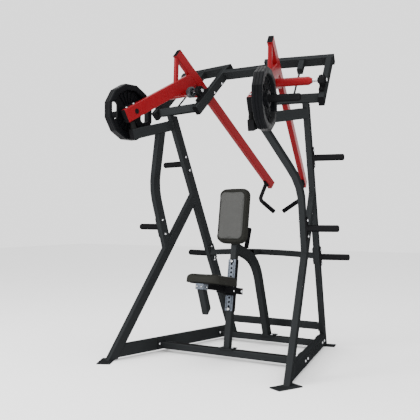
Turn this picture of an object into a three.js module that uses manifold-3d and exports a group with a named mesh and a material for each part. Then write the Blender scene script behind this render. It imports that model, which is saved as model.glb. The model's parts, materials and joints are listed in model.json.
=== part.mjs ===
// Plate-loaded row machine: two splayed side frames joined by crossbars, two lever arms that
// swing in pillow blocks at the top, and a seat and chest pad on a leaning column.
//
// Frame: +X to the user's right, +Y the way the user faces, +Z up, millimetres, floor at z = 0.
// Each side is drawn once in a side plane, as w (outwards), d (rearwards) and z (up), inside a
// group turned about Z by that side's splay; `side` is +1 on the right and -1 on the left.

import * as THREE from 'three';
import { mergeVertices } from 'three/addons/utils/BufferGeometryUtils.js';
import Module from 'manifold-3d';

const wasm = await Module();
wasm.setup();

// ---------------------------------------------------------------- driving dimensions

const DEG = Math.PI / 180;
const GAP = 0.3; // between parts that touch
const ROUND = 24; // facets of a turned part

const FRAME_SPLAY = 12 * DEG; // side frames narrow towards the back
const ARM_SPLAY = 11.5 * DEG; // planes that the lever arms swing in
const FRAME_W = 710.6; // side frame's mid plane, measured across the splay
const DEPTH_SHIFT = -753.8; // moves the model so that its bounding box is centred

const TUBE_DEEP = 76; // main rectangular tube
const TUBE_WIDE = 44;
const WALL = 3;
const CORNER = 6; // outside corner radius of the tubes
const PLATE = 8; // flanges and feet

const BASE_BOTTOM = 17;
const BASE_TOP = 112;
const POST_TOP = 1892;
const S_LEAN = -0.407; // straight post: depth per unit of height
const S_FRONT = 1251; // depth of its front face at z = 0
const D_SLOPE = 0.7067; // diagonal post: depth per unit of height
const D_FRONT = -154; // depth of its front face at z = 0
const D_DEEP = 78;

const ARM_W = 483; // lever arm's mid plane
const ARM_WIDE = 42;
const PIVOT = { d: 490, z: 2048 };
const CHEEK_IN = 363; // mid planes of the two pivot cheeks
const CHEEK_OUT = 829;
const CHEEK_TILT = 45.5 * DEG;
const CHEEK_FOOT = { d: 457, z: 1890 };
const CHEEK_LONG = 509;
const BLOCK = { half: 21, foot: 142, footTall: 16, neck: 66, housing: 37, collar: 23 };
const PIVOT_FRONT = { d: 505, tall: 64, deep: 50 }; // tube that the pivot frame stands on

const AXLE_R = 12.45;
const BEARING_R = 12.9;
const HUB_R = 31;
const HORN_R = 24.5;
const HORN_AT = { d: -63, z: 1837 };
const SPIGOT_R = 19; // loading horn's stub in the loading arm
const PLATE_R = 209; // corner radius of the twelve-sided plate
const PLATE_THICK = 70;
const PLATE_WEB = 16; // between the recesses of its two faces
const PLATE_RECESS_R = 163; // corner radius of the recesses
const PLATE_HUB_R = 52;
const GRIP_SLOT = { reach: 143, wide: 62, long: 124, corner: 24 };

const COLUMN = 50;
const COLUMN_LEAN = 8.9 * DEG;
const COLUMN_FOOT = { y: 537, z: 78 };
const GRIP_R = 18;

const ARM_TILT = -39.2 * DEG; // handle tube falls towards the back
const ARM_TOP = { d: 362, z: 2338.5 };
const ARM_LONG = 1557;
const LOAD_TILT = 28.2 * DEG; // loading arm rises towards the back
const LOAD_END = { d: -157, z: 1790 };
const LOAD_DEEP = 100;
const PLATE_IN = 519; // plate's inner face
const PLATE_BORE_R = 25.4;
const HORN_END = 790;

const HORN_LONG = 223;
const FOOT = { long: 190, wide: 98 };
// Name, depth and turn about Z of each foot plate on a side frame.
const FEET = [['front_foot', -150, 52 * DEG], ['rear_foot', 1292, 0]];
// Name, depth and height of each storage horn on a side frame.
const STORAGE = [['upper_horn', 679, 1510], ['middle_horn', 412, 989], ['lower_horn', 985, 755]];
const MIDDLE_BAR = { y: 1102, z: 762 };
const REAR_LOW = { y: 1235, bottom: 26, tall: 48, top: 74 };
const HOLES = { count: 11, pitch: 32, first: 317, radius: 6.5 };
const PIN_HOLE = 3; // hole that the seat's pin sits in
const SEAT_UP = 463; // seat pad's underside, along the column
const SEAT_OUT = 302; // seat pad's middle, in front of the column
const SEAT_PAD = { wide: 280, deep: 346, thick: 62, corner: 46 };
const SEAT_PLATE = 5; // thickness of the steel plate under the seat pad
const CHEST_UP = 1002; // chest pad's middle, along the column
const CHEST_PAD = { wide: 264, deep: 432, thick: 62, corner: 58 };
const BACKING = { wide: 150, thick: 11.4, tall: 260 };
const CARRIAGE = { cheek: 35, plate: 6, tall: 50, long: 279, out: 29, below: 26 };
const SEAT_ARM = { wide: 50, long: 256, tall: 34, out: 278 };
const SEAT_BOARD = { wide: 170, long: 300, out: 315 }; // steel plate under the seat pad
const PIN = { shaft: 5.5, bore: 6.2, barrel: 13, knob: 15 };
const CLAMP = { wide: 64, long: 66, tall: 40, out: 440 };
const TRACK = { wide: 62, thick: 5, margin: 35 };
const SLAB = { wide: 120, deep: 92 }; // column's foot plate
const BAR_FLANGE = { deep: 120, tall: 84, z: 64 }; // end plates of the two low crossbars

// ---------------------------------------------------------------- materials

function paint(colour, roughness, metalness) {
  return new THREE.MeshStandardMaterial({ color: colour, roughness, metalness });
}

const powderCoat = paint(0x333536, 0.5, 0.3);
const redCoat = paint(0xb71d27, 0.35, 0.2);
const blackCoat = paint(0x151617, 0.45, 0.2);
const zinc = paint(0x8f9bb0, 0.35, 0.9);
const steel = paint(0xb9bcc0, 0.25, 1.0);
const rubber = paint(0x111214, 0.75, 0.0);
const vinyl = paint(0x5d5c57, 0.6, 0.0);

// ---------------------------------------------------------------- solids

const V = (x, y, z) => new THREE.Vector3(x, y, z);

function toSolid(geometry) {
  const bare = geometry.clone();
  bare.deleteAttribute('normal');
  bare.deleteAttribute('uv');
  const merged = mergeVertices(bare, 1e-3);
  const make = (index) => new wasm.Manifold(new wasm.Mesh({
    numProp: 3,
    vertProperties: new Float32Array(merged.attributes.position.array),
    triVerts: new Uint32Array(index),
  }));
  const index = Array.from(merged.index.array);
  const solid = make(index);
  return solid.volume() > 0 ? solid : make(index.reverse());
}

function toGeometry(solid) {
  const mesh = solid.getMesh();
  const geometry = new THREE.BufferGeometry();
  const positions = new Float32Array(mesh.numVert * 3);
  for (let i = 0; i < mesh.numVert; i += 1) {
    for (let k = 0; k < 3; k += 1) {
      positions[i * 3 + k] = mesh.vertProperties[i * mesh.numProp + k];
    }
  }
  geometry.setAttribute('position', new THREE.BufferAttribute(positions, 3));
  geometry.setIndex(new THREE.BufferAttribute(new Uint32Array(mesh.triVerts), 1));
  geometry.computeVertexNormals();
  return geometry;
}

const join = (...solids) => solids.reduce((whole, piece) => whole.add(piece));
const cut = (solid, ...tools) => tools.reduce((whole, tool) => whole.subtract(tool), solid);

// Removes what lies beyond a plane, on the side its normal points to.
function slice(solid, point, normal) {
  const far = 3000;
  const turn = new THREE.Quaternion().setFromUnitVectors(V(0, 0, 1), normal.clone().normalize());
  const block = new THREE.BoxGeometry(2 * far, 2 * far, 2 * far);
  block.translate(0, 0, far).applyQuaternion(turn).translate(point.x, point.y, point.z);
  return solid.subtract(toSolid(block));
}

function box(sizeX, sizeY, sizeZ, centre, tilt = 0) {
  const block = new THREE.BoxGeometry(sizeX, sizeY, sizeZ);
  return toSolid(block.rotateX(tilt).translate(centre.x, centre.y, centre.z));
}

// A bar, disc or cone between two points.
function rod(from, to, radiusFrom, radiusTo = radiusFrom, facets = ROUND) {
  const along = to.clone().sub(from);
  const bar = new THREE.CylinderGeometry(radiusTo, radiusFrom, along.length(), facets);
  const turn = new THREE.Quaternion().setFromUnitVectors(V(0, 1, 0), along.clone().normalize());
  const middle = from.clone().add(to).multiplyScalar(0.5);
  return toSolid(bar.applyQuaternion(turn).translate(middle.x, middle.y, middle.z));
}

function roundedOutline(wide, deep, corner, turn) {
  const points = [];
  const middles = [[1, 1, 0], [-1, 1, 90], [-1, -1, 180], [1, -1, 270]];
  for (const [sx, sy, start] of middles) {
    for (const step of [0, 45, 90]) {
      const angle = (start + step) * DEG;
      const x = sx * (wide / 2 - corner) + corner * Math.cos(angle);
      const y = sy * (deep / 2 - corner) + corner * Math.sin(angle);
      points.push(new THREE.Vector2(x, y).rotateAround(new THREE.Vector2(0, 0), turn));
    }
  }
  return points;
}

// A rectangular tube along a path; `across` is the direction of its `wide` side at the start.
function tube(path, across, { wide = TUBE_WIDE, deep = TUBE_DEEP, wall = WALL, steps = 1 } = {}) {
  const frames = path.computeFrenetFrames(steps, false);
  const turn = Math.atan2(across.dot(frames.binormals[0]), across.dot(frames.normals[0]));
  const shape = new THREE.Shape(roundedOutline(wide, deep, CORNER, turn));
  if (wall > 0) {
    const bore = roundedOutline(wide - 2 * wall, deep - 2 * wall, CORNER - wall, turn);
    shape.holes.push(new THREE.Path(bore.reverse()));
  }
  return toSolid(new THREE.ExtrudeGeometry(shape, { steps, bevelEnabled: false, extrudePath: path }));
}

const straight = (from, to) => new THREE.LineCurve3(from, to);

// Two straight runs joined by a smooth bend that starts and ends `reach` from the corner.
function bentPath(from, corner, to, reach) {
  const before = corner.clone().add(from.clone().sub(corner).setLength(reach));
  const after = corner.clone().add(to.clone().sub(corner).setLength(reach));
  const path = new THREE.CurvePath();
  path.add(new THREE.LineCurve3(from, before));
  path.add(new THREE.QuadraticBezierCurve3(before, corner, after));
  path.add(new THREE.LineCurve3(after, to));
  return path;
}

function roundBar(path, radius, steps, facets = 14) {
  const shape = new THREE.Shape().absarc(0, 0, radius, 0, 2 * Math.PI, false);
  const outline = new THREE.Shape(shape.getSpacedPoints(facets).slice(0, -1));
  return toSolid(new THREE.ExtrudeGeometry(outline, { steps, bevelEnabled: false, extrudePath: path }));
}

// ---------------------------------------------------------------- scene helpers

const machine = new THREE.Group();
machine.position.y = DEPTH_SHIFT;

function add(group, name, solid, material) {
  const mesh = new THREE.Mesh(toGeometry(solid), material.clone());
  mesh.name = name;
  group.add(mesh);
  return mesh;
}

function splayed(side, splay) {
  const group = new THREE.Group();
  group.rotation.z = side * splay;
  machine.add(group);
  return group;
}

const sideName = (side) => (side > 0 ? 'right' : 'left');
const OUT = V(1, 0, 0);

// ---------------------------------------------------------------- side frames

const sFrontAt = (z) => S_FRONT + S_LEAN * z;
const dFrontAt = (z) => D_FRONT + D_SLOPE * z;
const S_DEEP_FLAT = TUBE_DEEP * Math.hypot(1, S_LEAN); // post depths measured level
const D_DEEP_FLAT = D_DEEP * Math.hypot(1, D_SLOPE);
const S_FORWARD = V(0, -1, S_LEAN); // normals of the post faces
const D_FORWARD = V(0, -1, D_SLOPE);
const D_REARWARD = V(0, 1, -D_SLOPE);

// The rest bumpers stop just short of the loading arm's lower face.
const loadUp = V(0, -Math.sin(LOAD_TILT), Math.cos(LOAD_TILT));
const loadUnderside = (side) => V(side * ARM_W, LOAD_END.d, LOAD_END.z)
  .addScaledVector(loadUp, -LOAD_DEEP / 2 - 1);

function sideFrame(side) {
  const group = splayed(side, FRAME_SPLAY);
  const at = (d, z, w = FRAME_W) => V(side * w, d, z);
  const name = (piece) => `${sideName(side)}_${piece}`;

  const sMid = (z) => at(sFrontAt(z) + S_DEEP_FLAT / 2, z);
  let post = tube(straight(sMid(-60), sMid(POST_TOP + 60)), OUT);
  post = slice(post, at(0, PLATE + GAP), V(0, 0, -1));
  post = slice(post, at(0, POST_TOP), V(0, 0, 1));
  add(group, name('straight_post'), post, powderCoat);

  const dMid = (z) => at(dFrontAt(z) + D_DEEP_FLAT / 2, z);
  let diagonal = tube(straight(dMid(-80), dMid(1400)), OUT, { deep: D_DEEP });
  diagonal = slice(diagonal, at(0, PLATE + GAP), V(0, 0, -1));
  diagonal = slice(diagonal, at(sFrontAt(0) - GAP, 0), S_FORWARD.clone().negate());
  add(group, name('diagonal_post'), diagonal, powderCoat);

  const baseMid = (BASE_BOTTOM + BASE_TOP) / 2;
  const baseDeep = BASE_TOP - BASE_BOTTOM;
  let base = tube(straight(at(-200, baseMid), at(1400, baseMid)), OUT, { deep: baseDeep });
  base = slice(base, at(dFrontAt(0) + D_DEEP_FLAT + GAP, 0), D_FORWARD);
  base = slice(base, at(sFrontAt(0) - GAP, 0), S_FORWARD.clone().negate());
  add(group, name('base_beam'), base, powderCoat);

  const stubFront = at(-110, 1664, 471);
  const stubBend = at(277, 1765, 477);
  const stubRear = at(560, 1832, FRAME_W + 34);
  const stubPath = bentPath(stubFront, stubBend, stubRear, 70);
  let stub = tube(stubPath, OUT, { steps: 12 });
  stub = slice(stub, at(sFrontAt(0) - GAP, 0), S_FORWARD.clone().negate());
  add(group, name('stub_beam'), stub, powderCoat);

  const stubRun = stubBend.clone().sub(stubFront).normalize();
  const stubUp = V(0, -stubRun.z, stubRun.y);
  const bentFoot = at(485, 760);
  const bentCorner = at(326, 1297);
  const bentTop = at(160, 1745, 452);
  let bent = tube(bentPath(bentFoot, bentCorner, bentTop, 120), OUT, { steps: 14 });
  bent = slice(bent, at(dFrontAt(0) - GAP, 0), D_REARWARD);
  const stubUnder = stubFront.clone().addScaledVector(stubUp, -TUBE_DEEP / 2 - GAP);
  bent = slice(bent, stubUnder, stubUp);
  add(group, name('bent_post'), bent, powderCoat);

  const bumperFoot = stubFront.clone().addScaledVector(stubRun, 30);
  bumperFoot.addScaledVector(stubUp, TUBE_DEEP / 2 + GAP);
  const bumperTop = bumperFoot.clone().addScaledVector(stubUp, 90);
  const bumper = slice(rod(bumperFoot, bumperTop, 22, 16, 24), loadUnderside(side), loadUp);
  add(group, name('rest_bumper'), bumper, rubber);

  for (const [piece, d, turn] of FEET) {
    const slab = toSolid(new THREE.BoxGeometry(FOOT.long, FOOT.wide, PLATE));
    const holes = [-1, 1].map((end) => {
      const x = end * (FOOT.long / 2 - 20);
      return rod(V(x, 0, -PLATE), V(x, 0, PLATE), 7, 7, 12);
    });
    const foot = add(group, name(piece), cut(slab, ...holes), powderCoat);
    foot.position.copy(at(d, PLATE / 2));
    foot.rotation.z = side * turn;
  }

  for (const [piece, d, z] of STORAGE) {
    const face = FRAME_W + TUBE_WIDE / 2 + GAP;
    const lean = z > 1000 || d > 800 ? Math.atan(-S_LEAN) : Math.atan(0.29);
    const flange = box(PLATE, 60, 160, at(d, z, face + PLATE / 2), lean);
    const bar = rod(at(d, z, face + 2), at(d, z, face + HORN_LONG), HORN_R);
    const tip = rod(at(d, z, face + HORN_LONG), at(d, z, face + HORN_LONG + 8), HORN_R, 15);
    add(group, name(piece), join(flange, bar, tip), blackCoat);
  }
}

// ---------------------------------------------------------------- crossbars and column

const innerFace = FRAME_W - TUBE_WIDE / 2;

// Cuts a bar that runs from side to side to the splayed side frames and adds its end flanges.
// The vent hole on the underside is what a closed, coated tube has.
function flanged(bar, depth, flange, { tilt = 0, ventY = depth } = {}) {
  let whole = bar;
  for (const side of [-1, 1]) {
    const normal = V(side * Math.cos(FRAME_SPLAY), Math.sin(FRAME_SPLAY), 0);
    whole = slice(whole, normal.clone().multiplyScalar(innerFace - GAP), normal);
    const reach = innerFace - GAP - PLATE / 2;
    const flangeDepth = (depth - reach * Math.sin(FRAME_SPLAY)) / Math.cos(FRAME_SPLAY);
    const plate = new THREE.BoxGeometry(PLATE, flange.deep, flange.tall).rotateX(tilt);
    plate.translate(side * reach, flangeDepth, flange.z).rotateZ(side * FRAME_SPLAY);
    whole = whole.add(toSolid(plate));
    const vent = V(side * 300, ventY, flange.z - flange.tall);
    whole = whole.subtract(rod(vent, vent.clone().setZ(flange.z), 5, 5, 16));
  }
  return whole;
}

function crossbar(name, y, bottom, tall, deep, flange) {
  const middle = bottom + tall / 2;
  const path = straight(V(-900, y, middle), V(900, y, middle));
  const bar = tube(path, V(0, 0, 1), { wide: tall, deep });
  add(machine, name, flanged(bar, y, flange), powderCoat);
}

const lean = V(0, Math.sin(COLUMN_LEAN), Math.cos(COLUMN_LEAN)); // up the column
const ahead = V(0, -Math.cos(COLUMN_LEAN), Math.sin(COLUMN_LEAN)); // out of its front face
const columnMid = (z) => V(0, COLUMN_FOOT.y + (z - COLUMN_FOOT.z) * Math.tan(COLUMN_LEAN), z);
// A point by the column: `up` along it from its foot, `out` in front of its mid line.
const byColumn = (x, out, up) => V(x, 0, 0)
  .add(columnMid(COLUMN_FOOT.z)).addScaledVector(lean, up).addScaledVector(ahead, out);

function columnBox(sizeX, sizeOut, sizeUp, x, out, up) {
  return box(sizeX, sizeOut, sizeUp, byColumn(x, out, up), -COLUMN_LEAN);
}

const holeUp = (i) => HOLES.first + i * HOLES.pitch;

function adjustmentHoles() {
  const holes = [];
  for (let i = 0; i < HOLES.count; i += 1) {
    const hole = rod(byColumn(0, 5, holeUp(i)), byColumn(0, 60, holeUp(i)), HOLES.radius,
      HOLES.radius, 10);
    holes.push(hole);
  }
  return holes;
}

function column() {
  let post = tube(straight(columnMid(-40), columnMid(1160)), V(1, 0, 0), { wide: COLUMN, deep: COLUMN });
  post = slice(post, V(0, 0, COLUMN_FOOT.z + PLATE), V(0, 0, -1));
  const footAt = V(0, COLUMN_FOOT.y, COLUMN_FOOT.z + GAP + PLATE / 2);
  const foot = box(SLAB.wide, SLAB.deep, PLATE, footAt);
  post = cut(join(post, foot), ...adjustmentHoles());
  add(machine, 'column', post, powderCoat);

  const long = holeUp(HOLES.count - 1) - holeUp(0) + 2 * TRACK.margin;
  const middle = (holeUp(HOLES.count - 1) + holeUp(0)) / 2;
  const trackOut = COLUMN / 2 + GAP + TRACK.thick / 2;
  const track = columnBox(TRACK.wide, TRACK.thick, long, 0, trackOut, middle);
  add(machine, 'adjuster_track', cut(track, ...adjustmentHoles()), zinc);
}

function braceBody(grow, wall) {
  const path = bentPath(V(0, 660, 832), V(0, 1002, 722), V(0, 1216, 82), 170);
  const size = { wide: COLUMN + 2 * grow, deep: TUBE_DEEP + 2 * grow, steps: 20, wall };
  return tube(path, OUT, size);
}

function curvedBrace() {
  let brace = braceBody(0, WALL);
  const columnRear = byColumn(0, -COLUMN / 2 - GAP, 0);
  brace = slice(brace, columnRear, ahead);
  const footTop = REAR_LOW.top + PLATE;
  brace = slice(brace, V(0, 0, footTop), V(0, 0, -1));
  const plate = box(130, 110, PLATE, V(0, REAR_LOW.y, REAR_LOW.top + GAP + PLATE / 2));
  add(machine, 'curved_brace', join(brace, plate), powderCoat);

  const seatOn = V(0, 842, 826);
  const tip = V(0, 900, 980);
  const along = tip.clone().sub(seatOn).normalize();
  add(machine, 'brace_handle', rod(seatOn.addScaledVector(along, GAP), tip, GRIP_R), blackCoat);
}

function crossbars() {
  crossbar('front_crossbar', COLUMN_FOOT.y, 26, 52, 60, BAR_FLANGE);
  crossbar('rear_low_crossbar', REAR_LOW.y, REAR_LOW.bottom, REAR_LOW.tall, 60, BAR_FLANGE);
  crossbar('rear_upper_crossbar', 1344, 142, 60, 40, { deep: 64, tall: 76, z: 172 });

  const end = (side) => V(side * 520, MIDDLE_BAR.y, MIDDLE_BAR.z);
  const path = new THREE.CatmullRomCurve3([end(-1), V(-260, 1062, 778), V(0, 1050, 784),
    V(260, 1062, 778), end(1)]);
  const arch = tube(path, V(0, 0, 1), { wide: 46, deep: 40, steps: 12 });
  const flange = { deep: 64, tall: 130, z: 770 };
  const bar = flanged(arch, MIDDLE_BAR.y, flange, { tilt: Math.atan(-S_LEAN), ventY: 1068 });
  const link = tube(straight(V(0, 930, 784), V(0, 1046, 784)), OUT, { wide: COLUMN, deep: 46 });
  add(machine, 'middle_crossbar', bar.add(cut(link, braceBody(GAP, 0))), powderCoat);
}

// ---------------------------------------------------------------- pivot frames

const cheekAlong = V(0, Math.cos(CHEEK_TILT), Math.sin(CHEEK_TILT)); // rearward and up
const cheekUp = V(0, -Math.sin(CHEEK_TILT), Math.cos(CHEEK_TILT)); // out of its top face

// A point by a pivot cheek: `along` it from its foot and `up` from its mid line.
const byCheek = (w, along, up) => V(w, CHEEK_FOOT.d, CHEEK_FOOT.z)
  .addScaledVector(cheekAlong, along).addScaledVector(cheekUp, up);

function pillowBlock(side, cheekW) {
  const w = side * cheekW;
  const { half, footTall } = BLOCK;
  const top = TUBE_DEEP / 2 + GAP;
  const neckTall = 40;
  const centre = V(w, PIVOT.d, PIVOT.z);
  const along = centre.clone().sub(byCheek(w, 0, 0)).dot(cheekAlong);
  const footAt = byCheek(w, along, top + footTall / 2);
  const foot = box(half * 2, BLOCK.foot, footTall, footAt, CHEEK_TILT);
  const neckAt = byCheek(w, along, top + footTall / 2 + footTall);
  const neck = box(half * 2 - 6, BLOCK.neck, neckTall, neckAt, CHEEK_TILT);
  const across = (reach) => V(w + reach, PIVOT.d, PIVOT.z);
  const housing = rod(across(-half + 2), across(half - 2), BLOCK.housing);
  const collar = rod(across(-half - 5), across(half + 5), BLOCK.collar);
  const bore = rod(across(-2 * half), across(2 * half), BEARING_R);
  return cut(join(foot, neck, housing, collar), bore);
}

function pivotFrame(side) {
  const group = splayed(side, ARM_SPLAY);
  const name = (piece) => `${sideName(side)}_${piece}`;
  const halfTube = TUBE_WIDE / 2;

  for (const [piece, cheekW] of [['inner', CHEEK_IN], ['outer', CHEEK_OUT]]) {
    const path = straight(byCheek(side * cheekW, 0, 0), byCheek(side * cheekW, CHEEK_LONG, 0));
    add(group, name(`${piece}_cheek`), tube(path, OUT), powderCoat);
    add(group, name(`${piece}_pillow_block`), pillowBlock(side, cheekW), blackCoat);
  }

  const frontZ = POST_TOP + GAP + PIVOT_FRONT.tall / 2;
  const frontFrom = V(side * (CHEEK_IN + halfTube + GAP), PIVOT_FRONT.d, frontZ);
  const frontTo = V(side * (CHEEK_OUT - halfTube - GAP), PIVOT_FRONT.d, frontZ);
  const frontSize = { wide: PIVOT_FRONT.deep, deep: PIVOT_FRONT.tall };
  const front = tube(straight(frontFrom, frontTo), V(0, 1, 0), frontSize);
  add(group, name('pivot_front_tube'), front, powderCoat);

  const rearMid = (w) => byCheek(w, CHEEK_LONG + GAP + halfTube, 0);
  const rearFrom = rearMid(side * (CHEEK_IN - 38));
  const rearTo = rearMid(side * (CHEEK_OUT + 33));
  const rear = tube(straight(rearFrom, rearTo), cheekAlong);
  const strutAt = (along) => byCheek(side * 620, along, 6);
  const strutPath = straight(strutAt(CHEEK_LONG - 120), strutAt(CHEEK_LONG + 2));
  const strut = tube(strutPath, OUT, { deep: 50, wall: 0 });
  const brace = slice(rod(strutAt(0), strutAt(CHEEK_LONG - 118), 7, 7, 16),
    V(0, 0, frontZ + PIVOT_FRONT.tall / 2 + GAP), V(0, 0, -1));
  add(group, name('pivot_rear_tube'), join(rear, strut, brace), powderCoat);
}

function overheadBeam() {
  const along = CHEEK_LONG - 52;
  const centre = byCheek(CHEEK_IN, along, 0);
  const y = CHEEK_IN * Math.sin(ARM_SPLAY) + centre.y * Math.cos(ARM_SPLAY);
  let beam = tube(straight(V(-400, y, centre.z), V(400, y, centre.z)), cheekAlong);
  for (const side of [-1, 1]) {
    const normal = V(side * Math.cos(ARM_SPLAY), Math.sin(ARM_SPLAY), 0);
    beam = slice(beam, normal.clone().multiplyScalar(CHEEK_IN - TUBE_WIDE / 2 - GAP), normal);
  }
  add(machine, 'overhead_beam', beam, powderCoat);
}

// ---------------------------------------------------------------- lever arms

function leverArm(side) {
  const group = splayed(side, ARM_SPLAY);
  const name = (piece) => `${sideName(side)}_${piece}`;
  const at = (d, z, w = ARM_W) => V(side * w, d, z);
  const armAlong = V(0, Math.cos(ARM_TILT), Math.sin(ARM_TILT));
  const armUp = V(0, -Math.sin(ARM_TILT), Math.cos(ARM_TILT));
  const top = at(ARM_TOP.d, ARM_TOP.z);
  const onArm = (along, up, w = ARM_W) => V(side * w, ARM_TOP.d, ARM_TOP.z)
    .addScaledVector(armAlong, along).addScaledVector(armUp, up);
  const size = { wide: ARM_WIDE, deep: TUBE_DEEP };
  const handleTube = tube(straight(top, onArm(ARM_LONG, 0)), OUT, size);

  const loadAlong = V(0, Math.cos(LOAD_TILT), Math.sin(LOAD_TILT));
  const loadEnd = at(LOAD_END.d, LOAD_END.z);
  const loadFar = loadEnd.clone().addScaledVector(loadAlong, 900);
  let load = tube(straight(loadEnd, loadFar), OUT, { wide: ARM_WIDE, deep: LOAD_DEEP });
  load = slice(load, onArm(0, -TUBE_DEEP / 2 + WALL / 2), armUp);

  const strut = tube(straight(at(351, 2086), at(359, 2296)), OUT, { wide: 30, deep: 32, wall: 0 });
  const gusset = new THREE.Shape([
    new THREE.Vector2(300, 1990), new THREE.Vector2(452, 2022), new THREE.Vector2(520, 2012),
    new THREE.Vector2(676, 2040), new THREE.Vector2(600, 2130), new THREE.Vector2(420, 2070),
  ]);
  const web = new THREE.ExtrudeGeometry(gusset, { depth: 30, bevelEnabled: false });
  web.rotateX(Math.PI / 2).rotateZ(Math.PI / 2).translate(side * ARM_W - 15, 0, 0);
  const across = (w) => at(PIVOT.d, PIVOT.z, w);
  const hornAt = (w) => at(HORN_AT.d, HORN_AT.z, w);
  const inner = ARM_W - ARM_WIDE / 2;
  const outer = ARM_W + ARM_WIDE / 2;
  const hub = rod(across(inner + 2), across(735), HUB_R);
  const nose = rod(across(735), across(762), HUB_R, 16);
  const boss = rod(across(inner - 24), across(inner + 4), 43);
  const socket = rod(across(inner - 30), across(inner - 8), 31);
  const bore = rod(across(inner - 60), across(800), AXLE_R + GAP);
  const joined = join(handleTube, load, strut, toSolid(web), hub, nose, boss);
  const hornHole = rod(hornAt(inner - 5), hornAt(outer + 5), SPIGOT_R + GAP);
  add(group, name('lever_arm'), cut(joined, socket, bore, hornHole), redCoat);

  const axle = rod(across(CHEEK_IN - 36), across(CHEEK_OUT + 36), AXLE_R);
  add(group, name('axle'), axle, steel);

  const spigot = rod(hornAt(inner - 3), hornAt(outer + 2), SPIGOT_R);
  const flange = rod(hornAt(outer + GAP), hornAt(outer + 12), 45);
  const horn = rod(hornAt(outer + 10), hornAt(HORN_END - 8), HORN_R);
  const tip = rod(hornAt(HORN_END - 8), hornAt(HORN_END), HORN_R, 16);
  add(group, name('loading_horn'), join(spigot, flange, horn, tip), blackCoat);

  const underside = onArm(ARM_LONG - 70, -TUBE_DEEP / 2 - GAP);
  const bar = roundBar(handlePath(side, underside), GRIP_R, 24);
  const socketPlate = box(32, 70, 6, onArm(ARM_LONG - 70, -TUBE_DEEP / 2 - GAP - 3), ARM_TILT);
  add(group, name('handle'), slice(join(bar, socketPlate), underside, armUp), blackCoat);

  add(group, name('weight_plate'), weightPlate(hornAt), rubber);
}

function handlePath(side, root) {
  const elbow = V(side * 487, 1405, 1222);
  const tip = V(side * 330, 1401, 1116);
  return bentPath(root, elbow, tip, 34);
}

function weightPlate(hornAt) {
  const disc = (from, to, radius, radiusTo = radius) => {
    const turned = new THREE.CylinderGeometry(radiusTo, radius, to - from, 12);
    turned.rotateY(15 * DEG).rotateZ(-Math.PI / 2);
    const centre = hornAt((from + to) / 2);
    if (centre.x < 0) turned.rotateY(Math.PI);
    return toSolid(turned.translate(centre.x, centre.y, centre.z));
  };
  const outFace = PLATE_IN + PLATE_THICK;
  const deep = (PLATE_THICK - PLATE_WEB) / 2;
  const bevel = 6;
  let plate = join(disc(PLATE_IN, PLATE_IN + bevel, PLATE_R - bevel, PLATE_R),
    disc(PLATE_IN + bevel, outFace - bevel, PLATE_R),
    disc(outFace - bevel, outFace, PLATE_R, PLATE_R - bevel));
  plate = cut(plate, disc(outFace - deep, outFace + 5, PLATE_RECESS_R),
    disc(PLATE_IN - 5, PLATE_IN + deep, PLATE_RECESS_R));
  plate = join(plate, rod(hornAt(PLATE_IN + 4), hornAt(outFace - 4), PLATE_HUB_R));
  const slots = [90 * DEG, 270 * DEG].map((turn) => gripSlot(hornAt, turn));
  return cut(plate, rod(hornAt(PLATE_IN - 10), hornAt(outFace + 10), PLATE_BORE_R), ...slots);
}

// An oblong finger hole, drawn below the bore and turned about the plate's axis.
function gripSlot(hornAt, turn) {
  const { reach, wide, long, corner } = GRIP_SLOT;
  const shape = new THREE.Shape(roundedOutline(wide, long, corner, 0));
  const through = 2 * PLATE_THICK;
  const slot = new THREE.ExtrudeGeometry(shape, { depth: through, bevelEnabled: false });
  slot.translate(reach, 0, -through / 2).rotateZ(turn).rotateY(Math.PI / 2);
  const centre = hornAt(PLATE_IN + PLATE_THICK / 2);
  return toSolid(slot.translate(centre.x, centre.y, centre.z));
}

// ---------------------------------------------------------------- seat and chest pad

function pad({ wide, deep, thick, corner }, out, up, upright) {
  const bevel = 8;
  const shape = new THREE.Shape(roundedOutline(wide, deep, corner, 0));
  const soft = new THREE.ExtrudeGeometry(shape, { depth: thick - 2 * bevel, bevelSegments: 2,
    bevelThickness: bevel, bevelSize: bevel, bevelOffset: -bevel });
  soft.translate(0, 0, bevel);
  if (upright) soft.rotateX(Math.PI / 2);
  return toSolid(soft.rotateX(-COLUMN_LEAN).translate(...byColumn(0, out, up).toArray()));
}

function chestPad() {
  const { wide, thick, tall } = BACKING;
  const front = COLUMN / 2 + GAP;
  const backing = columnBox(wide, thick, tall, 0, front + thick / 2, CHEST_UP);
  add(machine, 'chest_backing', backing, blackCoat);
  const soft = pad(CHEST_PAD, front + thick + GAP, CHEST_UP, true);
  add(machine, 'chest_pad', soft, vinyl);
}

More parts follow.
